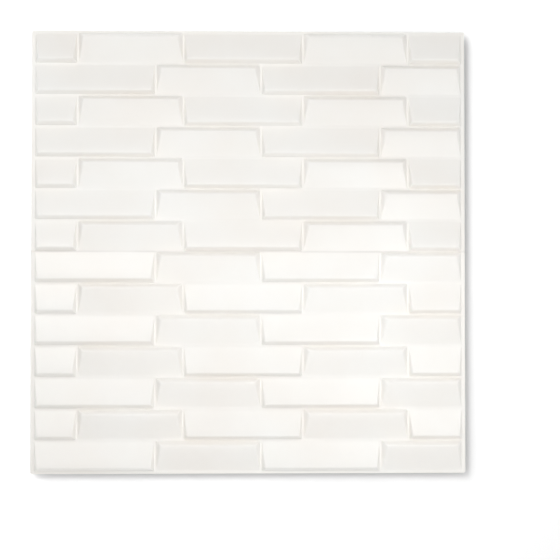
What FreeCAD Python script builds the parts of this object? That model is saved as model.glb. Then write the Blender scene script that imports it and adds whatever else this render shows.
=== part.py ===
import FreeCAD
import Part
import math
import os
from FreeCAD import Vector

# A white wall tile, vacuum formed from one thin plastic sheet. It lies face up:
# X runs along the courses, +Y is the top of the wall pattern and z = 0 is the flat back.
# All sizes are in millimetres.

tile_width = 490.0
tile_height = 500.0
sheet_thickness = 1.0
corner_radius = 2.5

# The pattern: courses of wedge bricks. Long bricks stand proud at their lower edge and
# short bricks at their upper edge, and the two kinds take turns along each course. A brick
# that the side would leave narrower than the narrowest is not begun: the one before it runs on.
course_count = 14
end_margin = 2.2
side_margin = 3.4
joint_width = 2.4
long_brick = 134.8
short_brick = 119.2
odd_course_start = 48.5
even_course_start = 136.2
narrowest_brick = 30.0

# The wedge: how far the proud edge rises, and how far its steep wall and its two
# sides lean back over that rise, so that the sheet comes off its mould.
relief_height = 8.0
long_wall_run = 4.4
short_wall_run = 5.2
long_side_run = 3.4
short_side_run = 5.6
edge_radius = 3.0

node_name = "panel_sheet"

# two points nearer than this count as one place
same_place = 0.01


def extruded(points, direction):
    """A prism over the closed outline through the points."""
    outline = Part.makePolygon(points + [points[0]])
    return Part.Face(outline).extrude(direction)


def wedge(left, right, flush_y, foot_y, floor_z, rise, wall_run, side_run, radius):
    """A wedge that starts flush at flush_y, climbs to a rounded ridge and drops steeply to foot_y."""
    toward_flush = 1.0 if flush_y > foot_y else -1.0
    ridge_y = foot_y + toward_flush * wall_run
    top_z = floor_z + rise
    # it is drawn one rise deeper than the floor and cut off there once it is rounded
    root_z = floor_z - rise
    root_foot_y = foot_y - toward_flush * wall_run
    body = extruded(
        [
            Vector(left - side_run, flush_y, root_z),
            Vector(left - side_run, flush_y, floor_z),
            Vector(left - side_run, ridge_y, top_z),
            Vector(left - side_run, root_foot_y, root_z),
        ],
        Vector(right - left + 2 * side_run, 0, 0),
    )
    low_y = min(flush_y, root_foot_y)
    reach_y = abs(flush_y - root_foot_y)
    sides = extruded(
        [
            Vector(left - side_run, low_y, root_z),
            Vector(right + side_run, low_y, root_z),
            Vector(right - side_run, low_y, top_z),
            Vector(left + side_run, low_y, top_z),
        ],
        Vector(0, reach_y, 0),
    )
    body = body.common(sides)
    # the ridge and the two corners that run down the steep wall from its ends are rounded
    rounded = [
        e
        for e in body.Edges
        if max(v.Z for v in e.Vertexes) > top_z - same_place
        and min(abs(v.Y - flush_y) for v in e.Vertexes) > same_place
    ]
    body = body.makeFillet(radius, rounded)
    above = Part.makeBox(
        right - left + 2 * side_run, reach_y, rise, Vector(left - side_run, low_y, floor_z)
    )
    return body.common(above)


def brick(left, right, course_bottom, course_top, is_long):
    """The outer form of one brick and the hollow behind it, which leaves an even sheet."""
    wall_run = long_wall_run if is_long else short_wall_run
    side_run = long_side_run if is_long else short_side_run
    left += joint_width / 2
    right -= joint_width / 2
    bottom = course_bottom + joint_width / 2
    top = course_top - joint_width / 2
    flush_y, foot_y = (top, bottom) if is_long else (bottom, top)
    outer = wedge(
        left, right, flush_y, foot_y, sheet_thickness, relief_height, wall_run, side_run, edge_radius
    )

    # the hollow's faces lie one sheet thickness under the outer ones, so its foot line
    # moves in by the thickness times the tangent of half of each face's slope
    length = top - bottom
    face_slope = math.atan2(relief_height, length - wall_run)
    wall_slope = math.atan2(relief_height, wall_run)
    side_slope = math.atan2(relief_height, side_run)
    face_inset = sheet_thickness * math.tan(face_slope / 2)
    wall_inset = sheet_thickness * math.tan(wall_slope / 2)
    side_inset = sheet_thickness * math.tan(side_slope / 2)
    share = (length - face_inset - wall_inset) / length
    toward_flush = 1.0 if is_long else -1.0
    inner_radius = max(edge_radius - sheet_thickness, 0.3)
    hollow = wedge(
        left + side_inset,
        right - side_inset,
        flush_y - toward_flush * face_inset,
        foot_y + toward_flush * wall_inset,
        0.0,
        relief_height * share,
        wall_run * share,
        side_run * share,
        inner_radius,
    )
    return outer, hollow


def course_joints(course):
    """The joint lines along a course, from the left side of the pattern to the right."""
    pattern_left = -tile_width / 2 + side_margin
    pattern_right = tile_width / 2 - side_margin
    starts_odd = course % 2 == 0
    x = pattern_left + (odd_course_start if starts_odd else even_course_start)
    lines = [pattern_left]
    is_long = False
    while x < pattern_right - narrowest_brick:
        lines.append(x)
        x += long_brick if is_long else short_brick
        is_long = not is_long
    return lines + [pattern_right]


def flat_sheet():
    """The sheet before forming, with its corners rounded."""
    sheet = Part.makeBox(
        tile_width, tile_height, sheet_thickness, Vector(-tile_width / 2, -tile_height / 2, 0)
    )
    upright = [e for e in sheet.Edges if abs(e.Vertexes[0].Z - e.Vertexes[1].Z) > sheet_thickness / 2]
    return sheet.makeFillet(corner_radius, upright)


def formed_sheet():
    """The flat sheet with every brick pushed out of it."""
    pitch = (tile_height - 2 * end_margin) / course_count
    outers = []
    hollows = []
    for course in range(course_count):
        course_top = tile_height / 2 - end_margin - course * pitch
        lines = course_joints(course)
        is_long = True
        for left, right in zip(lines, lines[1:]):
            outer, hollow = brick(left, right, course_top - pitch, course_top, is_long)
            outers.append(outer)
            hollows.append(hollow)
            is_long = not is_long
    formed = flat_sheet().multiFuse(outers)
    return formed.cut(hollows).removeSplitter()


def main():
    os.makedirs("parts", exist_ok=True)
    panel = formed_sheet()
    solid = panel.Solids[0]
    print("solids", len(panel.Solids), "valid", solid.isValid(), "volume", round(solid.Volume))
    solid.exportStep("parts/" + node_name + ".step")


main()
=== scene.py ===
import math

import bpy
import numpy as np
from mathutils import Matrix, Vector


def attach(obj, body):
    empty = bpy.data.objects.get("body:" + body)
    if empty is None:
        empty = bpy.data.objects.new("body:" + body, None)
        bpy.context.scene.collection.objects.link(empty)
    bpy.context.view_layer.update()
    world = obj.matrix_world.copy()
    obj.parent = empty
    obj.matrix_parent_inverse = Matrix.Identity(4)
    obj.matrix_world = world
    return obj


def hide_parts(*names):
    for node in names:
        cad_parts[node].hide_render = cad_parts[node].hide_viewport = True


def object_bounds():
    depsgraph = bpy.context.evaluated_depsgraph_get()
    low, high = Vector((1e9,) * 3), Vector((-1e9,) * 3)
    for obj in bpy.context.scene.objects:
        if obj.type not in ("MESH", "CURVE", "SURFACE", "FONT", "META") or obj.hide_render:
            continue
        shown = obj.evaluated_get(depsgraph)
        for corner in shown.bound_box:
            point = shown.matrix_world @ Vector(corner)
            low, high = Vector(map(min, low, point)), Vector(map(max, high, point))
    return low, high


# A white formed wall tile, lying face up and seen from above. Metres, +Y is the top of the wall pattern.

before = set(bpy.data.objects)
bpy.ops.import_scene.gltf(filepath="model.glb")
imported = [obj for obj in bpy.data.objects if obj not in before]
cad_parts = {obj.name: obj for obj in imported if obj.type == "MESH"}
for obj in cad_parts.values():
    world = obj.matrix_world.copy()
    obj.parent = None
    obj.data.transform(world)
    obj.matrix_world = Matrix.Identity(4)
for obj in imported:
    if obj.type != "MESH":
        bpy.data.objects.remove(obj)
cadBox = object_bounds()
print("frame loaded, box", cadBox)


def softMin(a, b, reach):
    # the lower of two heights, rounded off where they come within reach of each other
    near = np.maximum(reach - np.abs(a - b), 0.0) / reach
    return np.minimum(a, b) - near * near * reach / 4


def softMax(a, b, reach):
    # the higher of two heights, rounded the same way
    return -softMin(-a, -b, reach)


# the sheet: its outline, its courses of wedge bricks and the soft edges that forming leaves
panel = {
    "thickness": 0.0010,
    "cornerRadius": 0.0025,
    "cutWidth": 0.0009,
    "cutDrop": 0.0005,
    "courses": 14,
    "endMargin": 0.0022,
    "sideMargin": 0.0034,
    "joint": 0.0024,
    "longBrick": 0.1348,
    "shortBrick": 0.1192,
    "oddStart": 0.0485,
    "evenStart": 0.1362,
    "narrowestBrick": 0.030,
    "relief": 0.00800,
    "longWallRun": 0.0044,
    "shortWallRun": 0.0052,
    "longSideRun": 0.0034,
    "shortSideRun": 0.0056,
    "edgeReach": 0.0020,
    "footReach": 0.0006,
    "wallBulge": 1.35,
    "sideBulge": 1.12,
    "flushReach": 0.00015,
    "creaseDepth": 0.0004,
    "creaseWidth": 0.0010,
}

# grid lines beside a joint: how far they start from it, and how much of a brick's lean they follow
grid = {
    "columnOffset": (0.0, 0.0010, 0.0013, 0.0014, 0.0015, 0.0016, 0.0017, 0.0019, 0.0030, 0.0100),
    "columnLean": (0.0, 0.0, 0.0, 0.12, 0.28, 0.50, 0.75, 1.0, 1.0, 0.25),
    "rowOffset": (0.0, 0.0006, 0.0011, 0.0013, 0.0016, 0.0020, 0.0026, 0.0034,
                  0.0044, 0.0052, 0.0058, 0.0064, 0.0070, 0.0085, 0.0110),
    "rowShare": (0.4, 0.5, 0.6),
    "rim": (0.0, 0.0002, 0.0005, 0.0009, 0.0016),
    "spareOffset": 0.0010,
    "slack": 0.0001,
    "leastNormal": 1e-12,
}


def jointLines(course, halfWidth):
    # x of each joint along a course, from the left side of the pattern to the right
    right = halfWidth - panel["sideMargin"]
    lines = [-right]
    x = -right + (panel["oddStart"] if course % 2 == 0 else panel["evenStart"])
    isLong = False
    while x < right - panel["narrowestBrick"]:
        lines.append(x)
        x += panel["longBrick"] if isLong else panel["shortBrick"]
        isLong = not isLong
    return lines + [right]


def gridColumns(halfWidth):
    # base x of each column, how far and which way it leans with a brick's side, and the courses it leans in:
    # 0 and 1 are every second course, 2 is all of them. An odd number of columns is given.
    steps = list(zip(grid["columnOffset"], grid["columnLean"]))
    columns = []
    for parity in (0, 1):
        for x in jointLines(parity, halfWidth)[1:-1]:
            columns += [(x + offset, lean, parity) for offset, lean in steps]
            columns += [(x - offset, -lean, parity) for offset, lean in steps[1:]]
    edge = halfWidth - panel["sideMargin"]
    columns += [(edge - offset, -lean, 2) for offset, lean in steps]
    columns += [(offset - edge, lean, 2) for offset, lean in steps]
    columns += [(side * (halfWidth - inset), 0.0, 2) for inset in grid["rim"] for side in (-1, 1)]
    columns.sort()
    spare = (edge + grid["spareOffset"], 0.0, 2)
    return columns if len(columns) % 2 else columns[:-1] + [spare, columns[-1]]


def gridRows(halfHeight, pitch):
    # y of each row and the course that it crosses, from the top of the tile down. An odd number is given.
    down = list(grid["rowOffset"]) + [share * pitch for share in grid["rowShare"]]
    down += [pitch - offset for offset in reversed(grid["rowOffset"][1:])]
    rows = [(halfHeight - inset, -1) for inset in grid["rim"]]
    for course in range(panel["courses"]):
        top = halfHeight - panel["endMargin"] - course * pitch
        rows += [(top - offset, course) for offset in down]
    rows += [(inset - halfHeight, -1) for inset in (panel["endMargin"],) + grid["rim"][::-1]]
    return rows if len(rows) % 2 else rows[:-2] + rows[-1:]


def bulging(share, n):
    # (1 - (1 - share)^n)^(1 / n): upright at a wall's foot, level at its crest, level beyond it
    return (1 - np.clip(1 - share, 0.0, 1.0) ** n) ** (1 / n)


def brickHeight(x, y, left, right, bottom, top, isLong):
    # the face plane, brought down to the foot by a bulging wall at its proud end and one at either side
    wallRun = panel["longWallRun"] if isLong else panel["shortWallRun"]
    sideRun = panel["longSideRun"] if isLong else panel["shortSideRun"]
    half = panel["joint"] / 2
    fromFoot = y - bottom - half if isLong else top - half - y
    length = top - bottom - 2 * half
    rise = panel["relief"]
    face = rise * (length - fromFoot) / (length - wallRun)
    ridge = softMin(rise * bulging(fromFoot / wallRun, panel["wallBulge"]), face, panel["edgeReach"])
    ridge = softMax(ridge, 0.0, panel["flushReach"])
    aside = np.minimum(x - left - half, right - half - x)
    upSide = aside * rise / (sideRun * np.maximum(ridge, panel["flushReach"]))
    height = ridge * bulging(upSide, panel["sideBulge"])

    # softMax lifts the flat strip beside a foot by a quarter of its reach, so that much comes off again
    return softMax(height, 0.0, panel["footReach"]) - panel["footReach"] / 4


def leanColumns(x, rows, y, columns, course, lines, bottom, top):
    # moves the columns beside each joint along with the sides of the bricks that meet there
    baseX, lean, parity = columns
    isLong = True
    for left, right in zip(lines, lines[1:]):
        sideRun = panel["longSideRun"] if isLong else panel["shortSideRun"]
        middle = np.zeros(len(rows))
        profile = brickHeight(middle, y[rows], -1.0, 1.0, bottom, top, isLong) / panel["relief"]
        reach = sideRun * profile
        for edge, side in ((left, 1), (right, -1)):
            beside = np.abs(baseX - edge) < grid["columnOffset"][-1] + grid["slack"]
            mine = (parity == course % 2) | (parity == 2)
            cols = np.nonzero(beside & (lean * side > 0) & mine)[0]
            x[np.ix_(rows, cols)] += reach[:, None] * lean[cols][None, :]
        isLong = not isLong


def frontSurface():
    # the sheet's face as x, y and z over a grid of rows and columns
    halfWidth = (cadBox[1][0] - cadBox[0][0]) / 2
    halfHeight = (cadBox[1][1] - cadBox[0][1]) / 2
    pitch = (2 * halfHeight - 2 * panel["endMargin"]) / panel["courses"]
    columns = [np.array(c) for c in zip(*gridColumns(halfWidth))]
    y, courseOf = [np.array(r) for r in zip(*gridRows(halfHeight, pitch))]
    x = np.tile(columns[0], (len(y), 1))
    yy = np.tile(y[:, None], (1, len(columns[0])))
    z = np.zeros_like(x)
    for course in range(panel["courses"]):
        rows = np.nonzero(courseOf == course)[0]
        top = halfHeight - panel["endMargin"] - course * pitch
        lines = jointLines(course, halfWidth)
        leanColumns(x, rows, y, columns, course, lines, top - pitch, top)
        isLong = True
        for left, right in zip(lines, lines[1:]):
            height = brickHeight(x[rows], yy[rows], left, right, top - pitch, top, isLong)
            inside = (x[rows] >= left) & (x[rows] <= right)
            z[rows] = np.where(inside, height, z[rows])
            isLong = not isLong

    # the crease across the middle, depth * exp(-(y / width)^2), and the cut edge, which rolls over at the
    # outline in a quarter of an ellipse
    crease = panel["creaseDepth"] * np.exp(-(yy / panel["creaseWidth"]) ** 2)
    fromRim = np.minimum(halfWidth - np.abs(x), halfHeight - np.abs(yy))
    rolled = np.maximum(1 - fromRim / panel["cutWidth"], 0.0)
    cut = panel["cutDrop"] * (1 - np.sqrt(np.maximum(1 - rolled * rolled, 0.0)))
    z = z + panel["thickness"] - crease - cut

    # rounded corners: the rows near an end draw in at the sides
    r = panel["cornerRadius"]
    drawn = r - np.sqrt(np.maximum(r * r - np.maximum(r - halfHeight + np.abs(yy), 0.0) ** 2, 0.0))
    outer = np.clip((np.abs(x) - (halfWidth - r)) / r, 0, 1)
    return x - np.sign(x) * outer * drawn, yy, z


def backSurface(x, y, z):
    # every second grid point, moved one thickness along the surface's normal, and never under the flat back
    alongX = np.stack([np.gradient(a, axis=1) for a in (x, y, z)], axis=-1)
    alongY = np.stack([np.gradient(a, axis=0) for a in (x, y, z)], axis=-1)
    normal = np.cross(alongY, alongX)
    normal /= np.maximum(np.linalg.norm(normal, axis=-1, keepdims=True), grid["leastNormal"])
    back = np.stack([x, y, z], axis=-1) - panel["thickness"] * normal
    back[..., 2] = np.maximum(back[..., 2], 0.0)
    for edge in (np.s_[0, :], np.s_[-1, :], np.s_[:, 0], np.s_[:, -1]):
        back[edge] = np.stack([x[edge], y[edge], np.zeros_like(x[edge])], axis=-1)
    return back[::2, ::2]


def quadsOf(rows, columns, first):
    # the four corners of every cell of a grid, facing up, and the ring of points round it, seen from above
    index = first + np.arange(rows * columns).reshape(rows, columns)
    corners = [index[:-1, :-1], index[1:, :-1], index[1:, 1:], index[:-1, 1:]]
    cells = np.stack(corners, axis=-1).reshape(-1, len(corners))
    ring = np.concatenate([index[0, :-1], index[:-1, -1], index[-1, :0:-1], index[:0:-1, 0]])
    return cells, ring


def makePanel():
    x, y, z = frontSurface()
    back = backSurface(x, y, z)
    front = np.stack([x, y, z], axis=-1)
    cells, ring = quadsOf(*x.shape, 0)
    underCells, underRing = quadsOf(*back.shape[:2], x.size)

    # the rim joins every second step of the front's ring to one step of the back's
    after = np.roll(ring, -1)[::2]
    rim = np.stack([ring[::2], after, np.roll(ring, -2)[::2], np.roll(underRing, -1), underRing], axis=-1)
    points = np.concatenate([front.reshape(-1, 3), back.reshape(-1, 3)])
    faces = cells.tolist() + underCells[:, ::-1].tolist() + rim.tolist()
    mesh = bpy.data.meshes.new("panelSkin")
    mesh.from_pydata(points, [], faces)
    smooth = np.ones(len(faces), bool)
    smooth[-len(rim):] = False
    mesh.polygons.foreach_set("use_smooth", smooth)
    mesh.update()
    piece = bpy.data.objects.new("panelSkin", mesh)
    bpy.context.scene.collection.objects.link(piece)
    print("panel:", x.shape, "front,", back.shape[:2], "back,", sum(len(f) - 2 for f in faces), "triangles")
    return piece


# the plastic: a warm white that drifts a little and lets light in a little way, a satin gloss, a fine grain
# from forming, and painted shade: a darker line that comes and goes along the crease, where the groove's
# shade falls.
# A noise is its detail and roughness, and the height unit is the metre.
plastic = {
    "light": (0.948, 0.922, 0.889, 1.0),
    "deep": (0.923, 0.890, 0.848, 1.0),
    "driftScale": 9.0,
    "driftNoise": (3.0, 0.5),
    "driftEdges": (0.35, 0.65),
    "roughness": (0.29, 0.35),
    "specular": 0.5,
    "scatter": 0.6,
    "scatterReach": 0.00055,
    "scatterRadius": (1.0, 1.0, 1.0),
    "heightUnit": 1.0,
    "grainScale": 900.0,
    "grainNoise": (2.0, 0.6),
    "grainHeight": 0.000006,
    "waveScale": 14.0,
    "waveNoise": (1.0, 0.4),
    "waveHeight": 0.00010,
    "foldSlope": 0.07,
    "foldReach": 0.0012,
    # painted shade along the crease: its darker colour, its reach, and the patches it comes and goes in
    "creaseShadeTone": (0.80, 0.775, 0.745, 1.0),
    "creaseShadeReach": 0.0011,
    "creaseShadePatches": 11.0,
    "creaseShadeNoise": (1.0, 0.5),
    "creaseShadeEdges": (0.35, 0.6),
    "creaseShadeLeast": 0.35,
}


def newGroup(name, inputs, outputs):
    # an empty shader group with its sockets, and its two end nodes
    group = bpy.data.node_groups.new(name, "ShaderNodeTree")
    for label, kind in inputs:
        group.interface.new_socket(label, in_out="INPUT", socket_type="NodeSocket" + kind)
    for label, kind in outputs:
        group.interface.new_socket(label, in_out="OUTPUT", socket_type="NodeSocket" + kind)
    return group, group.nodes.new("NodeGroupInput").outputs, group.nodes.new("NodeGroupOutput").inputs


def placeGroup(tree, group, place, values):
    # the group as a node, on the place and with the values given
    node = tree.nodes.new("ShaderNodeGroup")
    node.node_tree = group
    tree.links.new(place, node.inputs["Place"])
    for label, value in values.items():
        node.inputs[label].default_value = value
    return node.outputs[0]


def noise(tree, place, scale, kind):
    # one noise texture on the place, at the scale, with the detail and roughness of its kind
    node = tree.nodes.new("ShaderNodeTexNoise")
    tree.links.new(place, node.inputs["Vector"])
    tree.links.new(scale, node.inputs["Scale"])
    node.inputs["Detail"].default_value, node.inputs["Roughness"].default_value = kind
    return node.outputs["Fac"]


def math2(tree, kind, a, b=0.0):
    # a Math node on two sockets or numbers
    node = tree.nodes.new("ShaderNodeMath")
    node.operation = kind
    for socket, value in zip(node.inputs, (a, b)):
        if isinstance(value, (int, float)):
            socket.default_value = value
        else:
            tree.links.new(value, socket)
    return node.outputs[0]


def mapRange(tree, value, start=(0.0, 1.0), end=(0.0, 1.0)):
    # a value taken from one range to another, and held inside it
    node = tree.nodes.new("ShaderNodeMapRange")
    tree.links.new(value, node.inputs["Value"])
    for label, limit in zip(("From Min", "From Max", "To Min", "To Max"), start + end):
        node.inputs[label].default_value = limit
    return node.outputs["Result"]


def mixColors(tree, mask, a, b):
    # from colour a to colour b by the mask, each a socket or a plain colour
    node = tree.nodes.new("ShaderNodeMix")
    node.data_type = "RGBA"
    tree.links.new(mask, node.inputs["Factor"])
    for label, value in (("A", a), ("B", b)):
        if isinstance(value, tuple):
            node.inputs[label].default_value = value
        else:
            tree.links.new(value, node.inputs[label])
    return node.outputs["Result"]


def driftGroup():
    # a slow cloudy mask from 0 to 1, for the tone and the gloss
    inputs = [("Place", "Vector"), ("Scale", "Float")]
    group, given, result = newGroup("slowDrift", inputs, [("Mask", "Float")])
    cloud = noise(group, given["Place"], given["Scale"], plastic["driftNoise"])
    group.links.new(mapRange(group, cloud, plastic["driftEdges"]), result["Mask"])
    return group


def creaseShadeGroup():
    # a painted shade mask along y = 0, exp(-(y / reach)^2), that comes and goes along the crease line
    inputs = [("Place", "Vector"), ("Reach", "Float"), ("Patches", "Float")]
    group, given, result = newGroup("creaseShadeLine", inputs, [("Mask", "Float")])
    parts = group.nodes.new("ShaderNodeSeparateXYZ")
    group.links.new(given["Place"], parts.inputs[0])
    off = math2(group, "DIVIDE", parts.outputs["Y"], given["Reach"])
    bell = math2(group, "EXPONENT", math2(group, "MULTIPLY", math2(group, "MULTIPLY", off, off), -1.0))
    alongOnly = group.nodes.new("ShaderNodeCombineXYZ")
    group.links.new(parts.outputs["X"], alongOnly.inputs["X"])
    cloud = noise(group, alongOnly.outputs["Vector"], given["Patches"], plastic["creaseShadeNoise"])
    patches = mapRange(group, cloud, plastic["creaseShadeEdges"], (plastic["creaseShadeLeast"], 1.0))
    group.links.new(math2(group, "MULTIPLY", bell, patches), result["Mask"])
    return group


def reliefGroup():
    # height = grain + waves - slope * sqrt(y^2 + reach^2), the last for the way each half leans from the fold
    labels = ("Grain Scale", "Grain Height", "Wave Scale", "Wave Height", "Fold Slope", "Fold Reach")
    inputs = [("Place", "Vector")] + [(label, "Float") for label in labels]
    group, given, result = newGroup("sheetRelief", inputs, [("Height", "Float")])
    grain = noise(group, given["Place"], given["Grain Scale"], plastic["grainNoise"])
    grain = math2(group, "MULTIPLY", grain, given["Grain Height"])
    wave = noise(group, given["Place"], given["Wave Scale"], plastic["waveNoise"])
    wave = math2(group, "MULTIPLY", wave, given["Wave Height"])
    parts = group.nodes.new("ShaderNodeSeparateXYZ")
    group.links.new(given["Place"], parts.inputs[0])
    acrossSquared = math2(group, "MULTIPLY", parts.outputs["Y"], parts.outputs["Y"])
    reachSquared = math2(group, "MULTIPLY", given["Fold Reach"], given["Fold Reach"])
    away = math2(group, "SQRT", math2(group, "ADD", acrossSquared, reachSquared))
    fold = math2(group, "MULTIPLY", away, given["Fold Slope"])
    height = math2(group, "SUBTRACT", math2(group, "ADD", grain, wave), fold)
    group.links.new(height, result["Height"])
    return group


def plasticMaterial():
    material = bpy.data.materials.new("whitePlastic")
    material.use_nodes = True
    tree = material.node_tree
    shader = tree.nodes["Principled BSDF"].inputs
    shader["Specular IOR Level"].default_value = plastic["specular"]
    shader["Subsurface Weight"].default_value = plastic["scatter"]
    shader["Subsurface Scale"].default_value = plastic["scatterReach"]
    shader["Subsurface Radius"].default_value = plastic["scatterRadius"]
    place = tree.nodes.new("ShaderNodeTexCoord").outputs["Object"]

    drift = placeGroup(tree, driftGroup(), place, {"Scale": plastic["driftScale"]})
    tone = mixColors(tree, drift, plastic["deep"], plastic["light"])
    creaseShadeValues = {"Reach": plastic["creaseShadeReach"], "Patches": plastic["creaseShadePatches"]}
    crease = placeGroup(tree, creaseShadeGroup(), place, creaseShadeValues)
    # painted shade: the base colour darkens along the crease, where the crease's shade falls
    tree.links.new(mixColors(tree, crease, tone, plastic["creaseShadeTone"]), shader["Base Color"])
    tree.links.new(mapRange(tree, drift, end=plastic["roughness"]), shader["Roughness"])

    relief = placeGroup(tree, reliefGroup(), place, {
        "Grain Scale": plastic["grainScale"],
        "Grain Height": plastic["grainHeight"],
        "Wave Scale": plastic["waveScale"],
        "Wave Height": plastic["waveHeight"],
        "Fold Slope": plastic["foldSlope"],
        "Fold Reach": plastic["foldReach"],
    })
    bump = tree.nodes.new("ShaderNodeBump")
    bump.inputs["Distance"].default_value = plastic["heightUnit"]
    tree.links.new(relief, bump.inputs["Height"])
    tree.links.new(bump.outputs["Normal"], shader["Normal"])
    print("plastic made")
    return material


# the stage: a pale floor a little under the tile, and even light from all round
stage = {
    "size": 0.8,
    "drop": 0.0082,
    "floorColor": (0.64, 0.64, 0.64, 1.0),
    "floorRoughness": 0.9,
    "floorSpecular": 0.0,
    "worldColor": (1.0, 1.0, 1.0, 1.0),
    "ambient": 0.515,
    "seenStrength": 1.0,
}

# the lamps, aimed at the middle unless they say otherwise: five weak ones from around, three close over a
# part of the tile, a beam that slants over its lower half, and two further off for the shadow, which light
# the floor alone
lamps = {
    "right": {"place": (0.63, 0.00, 0.90), "power": 1.10},
    "downRight": {"place": (0.45, -0.45, 0.90), "power": 0.53},
    "up": {"place": (0.00, 0.63, 0.90), "power": 0.85},
    "down": {"place": (0.00, -0.63, 0.90), "power": 1.44},
    "upLeft": {"place": (-0.45, 0.45, 0.90), "power": 1.75},
    "nearRight": {"place": (0.19, -0.06, 0.35), "power": 0.145,
                  "aim": (0.19, -0.06, 0), "size": (0.15, 0.15)},
    "nearLeft": {"place": (-0.20, -0.10, 0.55), "power": 0.07,
                 "aim": (-0.20, -0.10, 0), "size": (0.20, 0.20)},
    "nearMiddle": {"place": (-0.13, 0.05, 0.30), "power": 0.05,
                   "aim": (-0.13, 0.05, 0), "size": (0.15, 0.15)},
    "lower": {"place": (0.00, 0.244, 0.473), "power": 0.014,
              "aim": (0, -0.125, 0), "size": (0.49, 0.197), "spread": 3},
    "shadowUpLeft": {"place": (-1.30, 1.30, 1.36), "power": 50.0, "size": (1.60, 1.60)},
    "shadowLeft": {"place": (-1.70, -0.25, 1.60), "power": 23.0, "size": (1.60, 1.60)},
}


def makeFloor():
    size = stage["size"]
    square = ((-size, -size), (size, -size), (size, size), (-size, size))
    corners = [(x, y, -stage["drop"]) for x, y in square]
    mesh = bpy.data.meshes.new("floor")
    mesh.from_pydata(corners, [], [(0, 1, 2, 3)])
    floor = bpy.data.objects.new("floor", mesh)
    bpy.context.scene.collection.objects.link(floor)
    material = bpy.data.materials.new("floorPaper")
    material.use_nodes = True
    shader = material.node_tree.nodes["Principled BSDF"].inputs
    shader["Base Color"].default_value = stage["floorColor"]
    shader["Roughness"].default_value = stage["floorRoughness"]
    shader["Specular IOR Level"].default_value = stage["floorSpecular"]
    mesh.materials.append(material)
    return floor


def makeWorld():
    # seen or mirrored it is white, and everything else is lit by it at the ambient strength
    world = bpy.data.worlds.new("studio")
    bpy.context.scene.world = world
    world.use_nodes = True
    tree = world.node_tree
    background = tree.nodes["Background"].inputs
    background["Color"].default_value = stage["worldColor"]
    rays = tree.nodes.new("ShaderNodeLightPath").outputs
    seen = math2(tree, "ADD", rays["Is Camera Ray"], rays["Is Glossy Ray"])
    seen = math2(tree, "ADD", seen, rays["Is Transmission Ray"])
    strength = mapRange(tree, seen, end=(stage["ambient"], stage["seenStrength"]))
    tree.links.new(strength, background["Strength"])


def makeLamp(name, place, power, aim=(0, 0, 0), size=(0.5, 0.5), spread=180):
    light = bpy.data.lights.new(name, "AREA")
    light.shape = "RECTANGLE"
    light.size, light.size_y = size
    light.energy = power
    light.spread = math.radians(spread)
    lamp = bpy.data.objects.new(name, light)
    lamp.location = place
    lamp.rotation_euler = (Vector(place) - Vector(aim)).to_track_quat("Z", "Y").to_euler()
    lamp.visible_camera = False
    bpy.context.scene.collection.objects.link(lamp)
    return lamp


# the camera, nearly straight over the tile, with its tilt in degrees
view = {
    "place": (0.0073, -0.0584, 1.30),
    "tilt": (1.1624, -1.2308, 0.0053),
    "lens": 73.92,
    "sensor": 36.0,
}


def makeCamera():
    data = bpy.data.cameras.new("camera")
    data.sensor_width = view["sensor"]
    data.lens = view["lens"]
    camera = bpy.data.objects.new("camera", data)
    camera.location = view["place"]
    camera.rotation_euler = [math.radians(a) for a in view["tilt"]]
    bpy.context.scene.collection.objects.link(camera)
    bpy.context.scene.camera = camera


bpy.context.scene.view_settings.view_transform = "Standard"
makeCamera()
skin = makePanel()
skin.data.materials.append(plasticMaterial())
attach(skin, "root")
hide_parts("panel_sheet")
print("panel made")
floor = makeFloor()
makeWorld()
lampOf = {name: makeLamp(name, **lamp) for name, lamp in lamps.items()}
onlyFloor = bpy.data.collections.new("onlyFloor")
onlyFloor.objects.link(floor)
for name in ("shadowUpLeft", "shadowLeft"):
    lampOf[name].light_linking.receiver_collection = onlyFloor
print("stage made")
